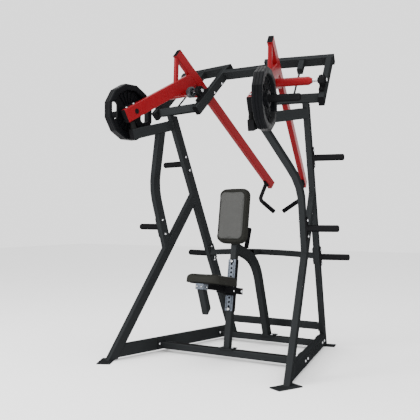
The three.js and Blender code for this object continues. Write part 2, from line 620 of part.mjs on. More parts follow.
function seat() {
  const { cheek, plate, tall, long, out } = CARRIAGE;
  const up = SEAT_UP - CARRIAGE.below; // carriage's mid height
  const boardUnder = SEAT_UP - GAP - SEAT_PLATE;
  const armUp = boardUnder - SEAT_ARM.tall / 2;
  const boardUp = boardUnder + SEAT_PLATE / 2;
  const pinUp = holeUp(PIN_HOLE);
  const pinRod = (from, to, radius) => rod(byColumn(0, from, pinUp), byColumn(0, to, pinUp), radius);
  const carriage = join(
    columnBox(plate, long, tall, -cheek, out, up),
    columnBox(plate, long, tall, cheek, out, up),
    columnBox(2 * cheek, 12, 62, 0, 38, up - 8), // front guide, which carries the pin
    columnBox(2 * cheek, 14, 46, 0, -33, up), // rear guide
    rod(byColumn(-cheek, -78, up), byColumn(cheek, -78, up), 11),
    columnBox(2 * cheek, 22, tall, 0, 157, up),
    columnBox(SEAT_ARM.wide, SEAT_ARM.long, SEAT_ARM.tall, 0, SEAT_ARM.out, armUp),
    columnBox(SEAT_BOARD.wide, SEAT_BOARD.long, SEAT_PLATE, 0, SEAT_BOARD.out, boardUp),
    pinRod(43, 84, PIN.barrel),
  );
  const bored = cut(carriage, pinRod(25, 90, PIN.bore));
  add(machine, 'seat_carriage', bored, blackCoat);
  const pin = join(pinRod(20, 94, PIN.shaft), pinRod(92, 116, PIN.knob));
  add(machine, 'pop_pin', pin, steel);
  add(machine, 'seat_pad', pad(SEAT_PAD, SEAT_OUT, SEAT_UP, false), vinyl);

  const bracketUp = boardUnder - GAP - CLAMP.tall / 2;
  const bracket = columnBox(CLAMP.wide, CLAMP.long, CLAMP.tall, 0, CLAMP.out, bracketUp);
  add(machine, 'seat_clamp_bracket', bracket, zinc);
  const dropTop = byColumn(0, CLAMP.out - 3, bracketUp - CLAMP.tall / 2 - GAP);
  const drop = tube(straight(dropTop.clone().add(V(0, -18, 62)), V(0, 240, 386)), OUT,
    { wide: 48, deep: 60 });
  const square = slice(drop, dropTop, lean);
  const chamfer = slice(square, V(0, 250, 410), V(0, 1, -1));
  add(machine, 'seat_drop_tube', chamfer, powderCoat);
}

// ---------------------------------------------------------------- build

for (const side of [-1, 1]) {
  sideFrame(side);
}
for (const side of [-1, 1]) {
  pivotFrame(side);
  leverArm(side);
}
crossbars();
overheadBeam();
column();
curvedBrace();
chestPad();
seat();

export default machine;
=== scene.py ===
"""Looks of a plate-loaded row machine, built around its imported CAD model. Metres, +Z up.

Most steel pieces are skins: the CAD node's own mesh, welded, with its edges rounded. Pads, plates,
handles, bolts, caps, bearings and grips are made here.
"""

import json
import math

import bmesh
import bpy
from mathutils import Matrix, Vector
from mathutils.bvhtree import BVHTree


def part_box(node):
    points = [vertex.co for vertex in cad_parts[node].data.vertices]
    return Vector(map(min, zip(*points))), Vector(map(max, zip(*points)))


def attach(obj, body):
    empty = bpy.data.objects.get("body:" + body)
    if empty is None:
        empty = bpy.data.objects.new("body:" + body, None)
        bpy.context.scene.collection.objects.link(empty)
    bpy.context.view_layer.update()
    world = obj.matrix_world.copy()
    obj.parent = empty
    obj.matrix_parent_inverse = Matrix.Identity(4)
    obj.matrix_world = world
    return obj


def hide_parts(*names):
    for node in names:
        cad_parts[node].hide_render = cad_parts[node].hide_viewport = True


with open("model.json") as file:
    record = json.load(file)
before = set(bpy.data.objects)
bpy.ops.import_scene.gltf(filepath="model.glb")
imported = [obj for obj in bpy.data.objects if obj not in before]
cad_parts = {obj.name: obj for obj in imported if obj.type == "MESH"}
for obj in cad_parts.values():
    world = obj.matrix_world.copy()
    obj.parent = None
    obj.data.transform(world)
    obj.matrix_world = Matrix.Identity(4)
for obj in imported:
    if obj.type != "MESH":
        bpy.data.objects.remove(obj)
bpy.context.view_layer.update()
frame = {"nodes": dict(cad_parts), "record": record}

NODES = frame["nodes"]
BODY_OF = {node: body for body, nodes in frame["record"]["behaviour"]["bodies"].items() for node in nodes}
COLOURS = {entry["slot"]: tuple(entry["base_color"][:3]) for entry in frame["record"]["materials"]}

# ---------------------------------------------------------------- driving dimensions, as in the CAD model

DEG = math.pi / 180
DEPTH_SHIFT = -0.7538
FRAME_SPLAY = 12 * DEG
ARM_SPLAY = 11.5 * DEG
FRAME_W = 0.7106
TUBE_DEEP, TUBE_WIDE = 0.076, 0.044
POST_FRONT, POST_SLOPE = 1.251, -0.407
ARM_W, ARM_WIDE = 0.483, 0.042
PIVOT_D, PIVOT_Z = 0.490, 2.048
CHEEK_WS = {"inner": 0.363, "outer": 0.829}
CHEEK_TILT = 45.5 * DEG
CHEEK_FOOT = (0.457, 1.890)
CHEEK_LONG = 0.509
ARM_TILT = -39.2 * DEG
ARM_TOP = (0.362, 2.3385)
ARM_LONG = 1.557
LOAD_TILT = 28.2 * DEG
LOAD_END = (-0.157, 1.790)
LOAD_DEEP = 0.100
HORN_D, HORN_Z = -0.063, 1.837
HORN_R, HORN_END = 0.0245, 0.790
PLATE_R, PLATE_IN, PLATE_THICK, PLATE_WEB = 0.209, 0.519, 0.070, 0.016
COLUMN_LEAN = 8.9 * DEG
COLUMN_FOOT = Vector((0, 0.537 + DEPTH_SHIFT, 0.078))
COLUMN = 0.050
GRIP_R = 0.018
STORAGE = {"upper_horn": (0.679, 1.510), "middle_horn": (0.412, 0.989), "lower_horn": (0.985, 0.755)}
STORAGE_LONG = 0.223
SIDES = {"left": -1, "right": 1}
UP = Vector((0, 0, 1))


class Plane:
    """A splayed side plane: w outwards, d rearwards, z up."""

    def __init__(self, side, splay):
        self.out = Vector((side * math.cos(splay), math.sin(splay), 0))
        self.rear = Vector((-side * math.sin(splay), math.cos(splay), 0))
        self.name = "right" if side > 0 else "left"

    def at(self, w, d, z):
        return self.out * w + self.rear * d + UP * z + Vector((0, DEPTH_SHIFT, 0))

    def slope(self, tilt):
        """Unit vector that runs rearwards and rises by tilt, and the one square to it."""
        along = self.rear * math.cos(tilt) + UP * math.sin(tilt)
        over = self.rear * -math.sin(tilt) + UP * math.cos(tilt)
        return along, over


ARM_PLANES = [Plane(side, ARM_SPLAY) for side in SIDES.values()]
FRAME_PLANES = [Plane(side, FRAME_SPLAY) for side in SIDES.values()]
COLUMN_UP = Vector((0, math.sin(COLUMN_LEAN), math.cos(COLUMN_LEAN)))
COLUMN_OUT = Vector((0, -math.cos(COLUMN_LEAN), math.sin(COLUMN_LEAN)))
ACROSS = Vector((1, 0, 0))
LEVEL = (ACROSS, Vector((0, 1, 0)), UP)


def by_column(x, out, up):
    return COLUMN_FOOT + ACROSS * x + COLUMN_OUT * out + COLUMN_UP * up


# ---------------------------------------------------------------- materials


class Shader:
    """A Principled material whose inputs are built from textures in object space."""

    def __init__(self, name, metallic=0.0, sheen=0.0, specular=0.0, tint=1.0):
        self.material = bpy.data.materials.new(name)
        self.material.use_nodes = True
        self.tree = self.material.node_tree
        self.bsdf = self.tree.nodes["Principled BSDF"]
        fixed = {"Metallic": metallic, "Sheen Weight": sheen, "Specular IOR Level": specular,
                 "Specular Tint": (tint, tint, tint, 1)}
        for socket, value in fixed.items():
            self.bsdf.inputs[socket].default_value = value
        self.place = self.add("ShaderNodeTexCoord").outputs["Object"]

    def add(self, kind, inputs=None, **settings):
        node = self.tree.nodes.new(kind)
        for key, value in settings.items():
            setattr(node, key, value)
        for key, value in (inputs or {}).items():
            if isinstance(value, bpy.types.NodeSocket):
                self.tree.links.new(value, node.inputs[key])
            else:
                node.inputs[key].default_value = value
        return node

    def noise(self, scale, detail=2.0, distortion=0.0, stretch=(1, 1, 1)):
        place = self.add("ShaderNodeMapping", {"Vector": self.place, "Scale": stretch}).outputs[0]
        inputs = {"Vector": place, "Scale": scale, "Detail": detail, "Distortion": distortion}
        return self.add("ShaderNodeTexNoise", inputs).outputs["Fac"]

    def cells(self, scale):
        inputs = {"Vector": self.place, "Scale": scale}
        return self.add("ShaderNodeTexVoronoi", inputs, feature="F1").outputs["Distance"]

    def span(self, value, low, high, to_low, to_high):
        inputs = {"Value": value, "From Min": low, "From Max": high, "To Min": to_low, "To Max": to_high}
        return self.add("ShaderNodeMapRange", inputs).outputs[0]

    def math(self, operation, a, b=0.0):
        return self.add("ShaderNodeMath", {0: a, 1: b}, operation=operation).outputs[0]

    def mix(self, factor, a, b):
        a, b = ((*value, 1) if isinstance(value, tuple) else value for value in (a, b))
        return self.add("ShaderNodeMix", {0: factor, 6: a, 7: b}, data_type="RGBA").outputs[2]

    def bump(self, height, strength, distance, under=None):
        inputs = {"Height": height, "Strength": strength, "Distance": distance}
        if under is not None:
            inputs["Normal"] = under
        return self.add("ShaderNodeBump", inputs).outputs[0]

    def edges(self, radius):
        """1 near the object's outer edges, 0 on its flats."""
        soft = self.add("ShaderNodeBevel", {"Radius": radius}, samples=4).outputs[0]
        true = self.add("ShaderNodeNewGeometry").outputs["True Normal"]
        dot = self.add("ShaderNodeVectorMath", {0: soft, 1: true}, operation="DOT_PRODUCT").outputs["Value"]
        return self.span(dot, 0.86, 0.995, 1.0, 0.0)

    def finish(self, colour, roughness, normal):
        for socket, value in (("Base Color", colour), ("Roughness", roughness), ("Normal", normal)):
            self.tree.links.new(value, self.bsdf.inputs[socket])
        return self.material


def shade(colour, factor):
    return tuple(min(1.0, channel * factor) for channel in colour)


def powder_coat(slot, rough, wear_and_highlight, tone, grain=0.12, gloss=0.0):
    """Sprayed and baked coat: fine orange peel, faint cloudiness, edges painted a little lighter, partly as
    rubbed wear and partly as a painted highlight.
    """
    base = shade(COLOURS[slot], tone)
    s = Shader(slot, specular=gloss) if gloss else Shader(slot, metallic=0.4, tint=0.12)
    clouds = s.noise(5, 4)
    colour = s.mix(clouds, shade(base, 0.86), shade(base, 1.16))
    # Lighter edges: partly rubbed wear, partly a painted highlight along every outer edge.
    edge_wear_and_highlight = s.math("MULTIPLY", s.edges(0.0035), s.span(s.noise(60, 4), 0.35, 0.7, 0.25, 1.0))
    colour = s.mix(s.math("MULTIPLY", edge_wear_and_highlight, wear_and_highlight), colour, shade(base, 2.2))
    dust = s.span(s.noise(35, 5, 0.6), 0.3, 0.8, rough - 0.05, rough + 0.09)
    peel = s.bump(s.noise(420, 2), grain, 0.0006)
    return s.finish(colour, dust, s.bump(s.noise(1700, 1), grain, 0.0003, peel))


def vinyl(name, base, panel=None):
    """Grained upholstery vinyl. A panel is (half width, half height, corner, colour), facing local +Z."""
    s = Shader(name, metallic=0.15, tint=0.2)
    clouds = s.noise(9, 4)
    colour = s.mix(clouds, shade(base, 0.85), shade(base, 1.15))
    if panel:
        inside = rounded_mask(s, *panel[:3])
        lit = s.mix(clouds, shade(panel[3], 0.86), shade(panel[3], 1.14))
        colour = s.mix(inside, colour, lit)
    pebbles = s.cells(520)
    creases = s.noise(70, 5, 1.2)
    colour = s.mix(s.span(pebbles, 0.0, 0.45, 0.22, 0.0), colour, shade(base, 0.4))
    rough = s.span(creases, 0.3, 0.75, 0.44, 0.62)
    grain = s.bump(pebbles, 0.35, 0.0005)
    return s.finish(colour, rough, s.bump(creases, 0.3, 0.0012, grain))


def rounded_mask(s, half_x, half_y, corner):
    """1 inside a rounded rectangle about the local Z axis, on the side that faces +Z."""
    split = s.add("ShaderNodeSeparateXYZ", {0: s.place}).outputs
    over = []
    for axis, half in ((0, half_x), (1, half_y)):
        distance = s.math("SUBTRACT", s.math("ABSOLUTE", split[axis]), half - corner)
        over.append(s.math("MAXIMUM", distance, 0.0))
    square = [s.math("MULTIPLY", value, value) for value in over]
    radius = s.math("SQRT", s.math("ADD", *square))
    inside = s.span(radius, corner - 0.0006, corner + 0.0006, 1.0, 0.0)
    return s.math("MULTIPLY", inside, s.math("GREATER_THAN", split[2], 0.02))


def moulded_rubber(slot, rough=0.55, grain=0.25, scale=700, tone=0.6, gloss=0.0):
    base = shade(COLOURS[slot], tone)
    s = Shader(slot, specular=gloss) if gloss else Shader(slot, metallic=0.3, tint=0.15)
    clouds = s.noise(14, 5, 0.4)
    colour = s.mix(clouds, shade(base, 0.75), shade(base, 1.5))
    scuffs = s.span(s.noise(90, 5, 1.5), 0.62, 0.78, 0.0, 0.5)
    colour = s.mix(s.math("MULTIPLY", scuffs, s.edges(0.004)), colour, shade(base, 6))
    roughness = s.span(s.noise(30, 4), 0.3, 0.75, rough - 0.1, rough + 0.12)
    return s.finish(colour, roughness, s.bump(s.noise(scale, 3), grain, 0.0005))


def plated(slot, rough, spangle, tone):
    """Zinc or machined steel: faint crystal patches and fine drawn lines."""
    base = shade(COLOURS[slot], tone)
    s = Shader(slot, metallic=1.0)
    flakes = s.cells(130)
    colour = s.mix(s.math("MULTIPLY", flakes, spangle), base, shade(base, 0.55))
    stains = s.span(s.noise(40, 5, 0.8), 0.55, 0.75, 0.0, 0.35)
    colour = s.mix(stains, colour, shade(base, 0.6))
    lines = s.noise(260, 3, 0.0, (1, 1, 14))
    roughness = s.span(lines, 0.3, 0.7, rough - 0.07, rough + 0.1)
    return s.finish(colour, roughness, s.bump(lines, 0.12, 0.0004))


def gritty(slot):
    """Anti-slip strip: bonded grit on black film."""
    base = COLOURS[slot]
    s = Shader(slot)
    grit = s.cells(900)
    colour = s.mix(s.span(grit, 0.0, 0.3, 0.5, 0.0), base, shade(base, 5))
    rough = s.span(s.noise(50, 3), 0.3, 0.7, 0.7, 0.9)
    return s.finish(colour, rough, s.bump(grit, 0.8, 0.0012))


def cast_grey():
    """Bare, slightly rough steel of the arms' inner boss rings."""
    base = (0.080, 0.084, 0.090)
    s = Shader("bearing_grey", metallic=0.6)
    colour = s.mix(s.noise(60, 4), shade(base, 0.8), shade(base, 1.25))
    rough = s.span(s.noise(90, 3), 0.3, 0.7, 0.38, 0.55)
    return s.finish(colour, rough, s.bump(s.noise(500, 3), 0.2, 0.0005))


def studio_floor():
    s = Shader("studio_floor")
    pale = (0.90, 0.90, 0.90)
    colour = s.mix(s.noise(1.5, 2), shade(pale, 0.99), shade(pale, 1.01))
    rough = s.span(s.noise(3, 2), 0.0, 1.0, 0.75, 0.85)
    return s.finish(colour, rough, s.bump(s.noise(40, 2), 0.05, 0.001))


SEAT_PAD = {"wide": 0.280, "deep": 0.346, "thick": 0.062, "corner": 0.046}
CHEST_PAD = {"wide": 0.264, "deep": 0.432, "thick": 0.062, "corner": 0.058}
PAD_MARGIN = (0.029, 0.036)  # dark border round the pale panel
PANEL_CORNER = 0.036
PAD_TONE, BORDER_TONE = 0.39, 0.58


def pad_material(name, size):
    half = (size["wide"] / 2 - PAD_MARGIN[0], size["deep"] / 2 - PAD_MARGIN[1])
    red, green, blue = shade(COLOURS["pad_vinyl"], PAD_TONE)
    pale = (red * 0.96, green, blue * 1.12)
    return vinyl(name, shade(COLOURS["pad_border"], BORDER_TONE), (*half, PANEL_CORNER, pale))


MATERIALS = {
    "frame_coat": powder_coat("frame_coat", 0.45, 0.5, 0.44),
    "arm_coat": powder_coat("arm_coat", 0.34, 0.3, 0.31, grain=0.08, gloss=0.08),
    "black_coat": powder_coat("black_coat", 0.34, 0.6, 0.75, grain=0.08),
    "track_zinc": plated("track_zinc", 0.34, 0.8, 0.24),
    "bright_steel": plated("bright_steel", 0.24, 0.1, 0.8),
    "plate_rubber": moulded_rubber("plate_rubber", 0.42, tone=0.2, gloss=0.055),
    "bumper_rubber": moulded_rubber("bumper_rubber", 0.7),
    "grip_rubber": moulded_rubber("grip_rubber", 0.75, 0.5, 1400),
    "cap_plastic": moulded_rubber("cap_plastic", 0.45, 0.15, 1100),
    "pad_border": vinyl("pad_border", shade(COLOURS["pad_border"], BORDER_TONE)),
    "anti_slip": gritty("anti_slip"),
}
MATERIALS["bearing_grey"] = cast_grey()
SLOT_OF = {entry["node"]: entry["material_slot"] for entry in frame["record"]["subparts"]}

# ---------------------------------------------------------------- mesh tools


def linked(name, data):
    obj = bpy.data.objects.new(name, data)
    bpy.context.scene.collection.objects.link(obj)
    return obj


def new_object(name, bm, slot, material=None):
    mesh = bpy.data.meshes.new(name)
    bm.to_mesh(mesh)
    bm.free()
    obj = linked(name, mesh)
    mesh.materials.append(material or MATERIALS[slot])
    return obj


def settle(obj, body, slot, *replaced):
    """Gives a finished piece its body and hides the CAD nodes that it stands for. The slot argument is not
    used.
    """
    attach(obj, body)
    if replaced:
        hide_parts(*replaced)
    return obj


def soften(bm, limit):
    """Smooth faces, with edges sharper than the limit kept crisp."""
    bm.normal_update()
    for face in bm.faces:
        face.smooth = True
    for edge in bm.edges:
        edge.smooth = len(edge.link_faces) == 2 and edge.calc_face_angle(math.pi) < limit


def resoften(mesh, limit):
    bm = bmesh.new()
    bm.from_mesh(mesh)
    soften(bm, limit)
    bm.to_mesh(mesh)
    bm.free()


def baked(obj):
    """Applies the object's modifiers to its mesh."""
    graph = bpy.context.evaluated_depsgraph_get()
    mesh = bpy.data.meshes.new_from_object(obj.evaluated_get(graph))
    obj.modifiers.clear()
    obj.data = mesh


def modified(obj, name, kind, **settings):
    modifier = obj.modifiers.new(name, kind)
    for key, value in settings.items():
        setattr(modifier, key, value)
    return obj


def weighted(obj):
    return modified(obj, "normals", "WEIGHTED_NORMAL", keep_sharp=True)


def piece(name, bm, slot, body, *replaced, limit=40 * DEG):
    bmesh.ops.recalc_face_normals(bm, faces=bm.faces[:])
    soften(bm, limit)
    return settle(weighted(new_object(name, bm, slot)), body, slot, *replaced)


SKIN_CORNER = 52 * DEG  # edges of a skin sharper than this are rounded


def skin(node, width=0.0012):
    """The CAD node's own shape with its facets merged and its edges rounded."""
    bm = bmesh.new()
    bm.from_mesh(NODES[node].data)
    bmesh.ops.remove_doubles(bm, verts=bm.verts[:], dist=2e-5)
    bmesh.ops.dissolve_limit(bm, angle_limit=0.4 * DEG, verts=bm.verts[:], edges=bm.edges[:])
    obj = new_object(f"{node}_skin", bm, SLOT_OF[node])
    modified(obj, "edges", "BEVEL", width=width, segments=2, limit_method="ANGLE", angle_limit=SKIN_CORNER)
    baked(obj)
    resoften(obj.data, 50 * DEG)
    return settle(weighted(obj), BODY_OF[node], SLOT_OF[node], node)


def around(first, second, angle):
    """The unit vector at an angle from first towards second."""
    return first * math.cos(angle) + second * math.sin(angle)


def bridge(bm, rings):
    """Faces between neighbouring rings of as many points each."""
    for a, b in zip(rings, rings[1:]):
        for i in range(len(a)):
            j = (i + 1) % len(a)
            bm.faces.new([a[i], a[j], b[j], b[i]])


def side_axes(direction):
    helper = UP if abs(direction.z) < 0.9 else ACROSS
    first = direction.cross(helper).normalized()
    return first, direction.cross(first).normalized()


def turned(bm, base, direction, profile, segments=32):
    """Revolves (radius, along) points about an axis. A radius of 0 closes the end."""
    direction = direction.normalized()
    first, second = side_axes(direction)
    rings = []
    for radius, along in profile:
        centre = base + direction * along
        if radius == 0:
            rings.append([bm.verts.new(centre)])
            continue
        ring = []
        for i in range(segments):
            spread = around(first, second, 2 * math.pi * i / segments)
            ring.append(bm.verts.new(centre + spread * radius))
        rings.append(ring)
    for a, b in zip(rings, rings[1:]):
        for i in range(segments):
            j = (i + 1) % segments
            corners = [a[i % len(a)], a[j % len(a)], b[j % len(b)], b[i % len(b)]]
            corners = list(dict.fromkeys(corners))
            if len(corners) > 2:
                bm.faces.new(corners)


def block(bm, centre, axes, size, bevel=0.0015):
    """A box with rounded edges. axes are three unit vectors, size its three lengths."""
    part = bmesh.new()
    bmesh.ops.create_cube(part, size=1.0)
    bmesh.ops.scale(part, vec=size, verts=part.verts[:])
    if bevel:
        bmesh.ops.bevel(part, geom=part.edges[:], offset=bevel, segments=2, profile=0.5,
                        affect="EDGES", clamp_overlap=True)
    turn = Matrix(axes).transposed().to_4x4()
    bmesh.ops.transform(part, matrix=Matrix.Translation(centre) @ turn, verts=part.verts[:])
    merge_into(bm, part)


def merge_into(bm, part):
    mesh = bpy.data.meshes.new("scratch")
    part.to_mesh(mesh)
    part.free()
    bm.from_mesh(mesh)
    bpy.data.meshes.remove(mesh)


def sweep(bm, points, radius, segments=20):
    """A round bar along points. radius is a number or a function of the fraction along."""
    tangents = []
    for i in range(len(points)):
        tangents.append((points[min(i + 1, len(points) - 1)] - points[max(i - 1, 0)]).normalized())
    first, _ = side_axes(tangents[0])
    rings = []
    for i, (point, tangent) in enumerate(zip(points, tangents)):
        first = (first - tangent * first.dot(tangent)).normalized()
        second = tangent.cross(first)
        size = radius(i / (len(points) - 1)) if callable(radius) else radius
        ring = []
        for k in range(segments):
            spread = around(first, second, 2 * math.pi * k / segments)
            ring.append(bm.verts.new(point + spread * size))
        rings.append(ring)
    bridge(bm, rings)
    if (points[0] - points[-1]).length > 1e-9:
        bm.faces.new(rings[0])
        bm.faces.new(rings[-1][::-1])


BEND_STEP = 0.006


def bent_points(start, corner, end, reach):
    """Points along two straight runs joined by a smooth bend."""
    before = corner + (start - corner).normalized() * reach
    after = corner + (end - corner).normalized() * reach
    points = line_points(start, before, 0.03)[:-1]
    count = max(6, int(2 * reach / BEND_STEP))
    for i in range(count):
        t = i / count
        points.append(before * (1 - t) ** 2 + corner * (2 * t * (1 - t)) + after * t * t)
    return points + line_points(after, end, 0.03)


def line_points(start, end, step):
    count = max(2, int((end - start).length / step))
    return [start.lerp(end, i / count) for i in range(count + 1)]


WASHER = [(0.0, 0.0), (0.0125, 0.0), (0.0125, 0.0015), (0.0118, 0.0022), (0.0, 0.0022)]
DOME = [(0.0, -0.0005), (0.0095, 0.0), (0.0098, 0.0018), (0.0088, 0.0046), (0.0062, 0.0066),
        (0.0042, 0.0072), (0.0038, 0.0062), (0.0, 0.0060)]


class Bolts:
    """Dome-headed bolts on black washers, gathered into one piece of each for a body."""

    def __init__(self, body, slot="bright_steel"):
        self.body = body
        self.slot = slot
        self.heads = bmesh.new()
        self.washers = bmesh.new()

    def add(self, face, direction, scale=1.0):
        direction = direction.normalized()
        turned(self.washers, face, direction, [(r * scale, t * scale) for r, t in WASHER], 24)
        top = face + direction * 0.0020 * scale
        turned(self.heads, top, direction, [(r * scale, t * scale) for r, t in DOME], 24)

    def finish(self, name):
        piece(f"{name}_bolt_heads", self.heads, self.slot, self.body)
        piece(f"{name}_washers", self.washers, "cap_plastic", self.body)


def outline(wide, deep, corner, steps=5):
    """A rectangle with round corners, as points about the origin."""
    points = []
    for sx, sy, start in ((1, 1, 0), (-1, 1, 90), (-1, -1, 180), (1, -1, 270)):
        for i in range(steps + 1):
            angle = (start + 90 * i / steps) * DEG
            x = sx * (wide / 2 - corner) + corner * math.cos(angle)
            y = sy * (deep / 2 - corner) + corner * math.sin(angle)
            points.append((x, y))
    return points


def layered(bm, centre, axes, wide, deep, corner, levels, steps=5):
    """Stacks rounded rectangles, one for each (inset, height), into a closed body."""
    across, along, out = axes
    rings = []
    for inset, height in levels:
        points = outline(wide - 2 * inset, deep - 2 * inset, max(corner - inset, 0.0004), steps)
        rings.append([bm.verts.new(centre + across * x + along * y + out * height) for x, y in points])
    bridge(bm, rings)
    bm.faces.new(rings[0][::-1])
    bm.faces.new(rings[-1])


CAP_LEVELS = [(0.0034, -0.012), (0.0034, 0.0002), (0.0002, 0.0002), (0.0002, 0.0012), (0.0010, 0.0020)]


def end_cap(bm, centre, out, across, wide, deep):
    """A black plug in the open end of a tube whose outside is wide by deep."""
    out = out.normalized()
    layered(bm, centre, (across, out.cross(across), out), wide, deep, 0.006, CAP_LEVELS)


def weld(bm, points, radius=0.0028):
    """A bead with the ripples of a hand-laid weld."""
    dense = []
    for a, b in zip(points, points[1:]):
        dense += line_points(a, b, 0.003)[:-1]
    dense.append(points[-1])
    ripple = len(dense)
    sweep(bm, dense, lambda t: radius * (1 + 0.16 * math.sin(t * ripple * 1.9)), 8)


# ---------------------------------------------------------------- steel frame

FRAME_NODES = ["straight_post", "diagonal_post", "base_beam", "stub_beam", "bent_post", "front_foot",
               "rear_foot", "inner_cheek", "outer_cheek", "pivot_front_tube", "pivot_rear_tube",
               "inner_pillow_block", "outer_pillow_block"]
MIDDLE_NODES = ["front_crossbar", "rear_low_crossbar", "rear_upper_crossbar", "middle_crossbar",
                "overhead_beam", "column", "adjuster_track", "curved_brace", "chest_backing",
                "seat_carriage", "seat_clamp_bracket", "seat_drop_tube"]


def frame_skins():
    for side in SIDES:
        for name in FRAME_NODES:
            skin(f"{side}_{name}")
    for name in MIDDLE_NODES:
        skin(name)


def by_cheek(plane, w, along, over):
    run, square = plane.slope(CHEEK_TILT)
    return plane.at(w, *CHEEK_FOOT) + run * along + square * over


STUB_FRONT, STUB_BEND = (0.471, -0.110, 1.664), (0.477, 0.277, 1.765)
REAR_TUBE_PAST = {"inner": 0.038, "outer": 0.033}  # beyond the middles of the cheeks
COLUMN_TOP = 1.160


def frame_caps():
    bm = bmesh.new()
    for plane in ARM_PLANES:
        run, _ = plane.slope(CHEEK_TILT)
        for w in CHEEK_WS.values():
            end_cap(bm, by_cheek(plane, w, 0, 0), -run, plane.out, TUBE_WIDE, TUBE_DEEP)
        rear = CHEEK_LONG + 0.0003 + TUBE_WIDE / 2
        for name, sign in (("inner", -1), ("outer", 1)):
            end = by_cheek(plane, CHEEK_WS[name] + sign * REAR_TUBE_PAST[name], rear, 0)
            end_cap(bm, end, plane.out * sign, run, TUBE_WIDE, TUBE_DEEP)
    for plane in FRAME_PLANES:
        front = plane.at(*STUB_FRONT)
        end_cap(bm, front, front - plane.at(*STUB_BEND), plane.out, TUBE_WIDE, TUBE_DEEP)
    column_top = (COLUMN_TOP - COLUMN_FOOT.z) / math.cos(COLUMN_LEAN)
    end_cap(bm, by_column(0, 0, column_top), COLUMN_UP, ACROSS, COLUMN, COLUMN)
    piece("frame_end_caps", bm, "cap_plastic", "frame")


def rest_bumpers():
    for plane in FRAME_PLANES:
        run = (plane.at(*STUB_BEND) - plane.at(*STUB_FRONT)).normalized()
        over = plane.out.cross(run) * (1 if plane.name == "right" else -1)
        foot = plane.at(*STUB_FRONT) + run * 0.030 + over * (TUBE_DEEP / 2 + 0.0003)
        node = f"{plane.name}_rest_bumper"
        tall = (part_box(node)[1].z - foot.z) / over.z
        short = tall - 0.012
        profile = [(0, 0), (0.0215, 0), (0.0225, 0.003), (0.0195, short * 0.45), (0.0185, short * 0.6),
                   (0.0195, short - 0.006), (0.0165, short), (0, short)]
        bm = bmesh.new()
        turned(bm, foot, over, profile, 36)
        piece(f"{plane.name}_bumper_rubber", bm, "bumper_rubber", "frame", node)


def flange_axes(plane, name):
    """Width and height directions of a storage horn's flange, which follows the post it is on."""
    tilt = math.atan(0.29) if name == "middle_horn" else math.atan(-POST_SLOPE)
    return plane.slope(tilt)


def storage_horns():
    face = FRAME_W + TUBE_WIDE / 2 + 0.0003
    for plane in FRAME_PLANES:
        for name, (d, z) in STORAGE.items():
            base = plane.at(face, d, z)
            axes = (*flange_axes(plane, name), plane.out)
            bm = bmesh.new()
            levels = [(0.0008, 0), (0, 0.0008), (0, 0.0068), (0.0012, 0.008)]
            layered(bm, base, axes, 0.060, 0.160, 0.008, levels)
            end = STORAGE_LONG
            bar = [(0.0, 0.004), (0.030, 0.0075), (0.0262, 0.0105), (HORN_R, 0.014),
                   (HORN_R, end - 0.004), (0.0236, end), (0.0205, end + 0.0045), (0.015, end + 0.0072),
                   (0.0, end + 0.008)]
            turned(bm, base, plane.out, bar, 48)
            node = f"{plane.name}_{name}"
            piece(f"{node}_bar", bm, "black_coat", "frame", node)


LOW_BARS = (0.537, 1.235)  # depths of the two low crossbars
HIGH_BARS = ((1.344, 0.172, 0.028), (1.102, 0.770, 0.050))  # depth, height and bolt spacing
CHEEK_BOLTS = ((0.641, 2.051), (0.726, 2.136))
FLANGE = 0.0083  # thickness of a flange and the gap under it
BLOCK_BOLT = 0.056  # from the axle to a pillow block's bolt


def frame_bolts():
    bolts = Bolts("frame")
    inner, outer = FRAME_W - TUBE_WIDE / 2, FRAME_W + TUBE_WIDE / 2
    for plane in FRAME_PLANES:
        for name, (d, z) in STORAGE.items():
            _, tall = flange_axes(plane, name)
            for end in (-1, 1):
                bolts.add(plane.at(outer + FLANGE, d, z) + tall * 0.058 * end, plane.out)
                bolts.add(plane.at(inner, d, z) + tall * 0.058 * end, -plane.out)
        for y in LOW_BARS:
            d = (y - inner * math.sin(FRAME_SPLAY)) / math.cos(FRAME_SPLAY)
            for end in (-1, 1):
                bolts.add(plane.at(outer, d + end * 0.044, 0.0645), plane.out)
                bolts.add(plane.at(inner - FLANGE, d + end * 0.044, 0.0645), -plane.out)
        for y, z, reach in HIGH_BARS:
            d = (y - inner * math.sin(FRAME_SPLAY)) / math.cos(FRAME_SPLAY)
            lean = (plane.rear * POST_SLOPE + UP).normalized()
            for end in (-1, 1):
                bolts.add(plane.at(inner - FLANGE, d, z) + lean * reach * end, -plane.out, 0.8)
    dark = Bolts("frame", "black_coat")
    for plane in ARM_PLANES:
        for d, z in CHEEK_BOLTS:
            bolts.add(plane.at(CHEEK_WS["inner"] - TUBE_WIDE / 2, d, z), -plane.out)
        _, square = plane.slope(CHEEK_TILT)
        rearward, rise = PIVOT_D - CHEEK_FOOT[0], PIVOT_Z - CHEEK_FOOT[1]
        axle = rearward * math.cos(CHEEK_TILT) + rise * math.sin(CHEEK_TILT)
        for w in CHEEK_WS.values():
            for end in (-1, 1):
                at = by_cheek(plane, w, axle + BLOCK_BOLT * end, TUBE_DEEP / 2 + 0.0163)
                dark.add(at, square, 0.9)
    for x in (-0.044, 0.044):
        bolts.add(Vector((x, COLUMN_FOOT.y - 0.002, COLUMN_FOOT.z + FLANGE)), UP)
    for x in (-0.046, 0.046):
        for y in (1.205, 1.265):
            bolts.add(Vector((x, y + DEPTH_SHIFT, 0.0823)), UP)
    for up in (TRACK_LOW + 0.014, TRACK_HIGH - 0.014):
        bolts.add(by_column(0, COLUMN / 2 + 0.0053, up), COLUMN_OUT, 1.25)
    bolts.finish("frame")
    dark.finish("bearing")


HOLE_FIRST, HOLE_PITCH, HOLE_COUNT = 0.317, 0.032, 11
TRACK_LOW = HOLE_FIRST - 0.035
TRACK_HIGH = HOLE_FIRST + HOLE_PITCH * (HOLE_COUNT - 1) + 0.035


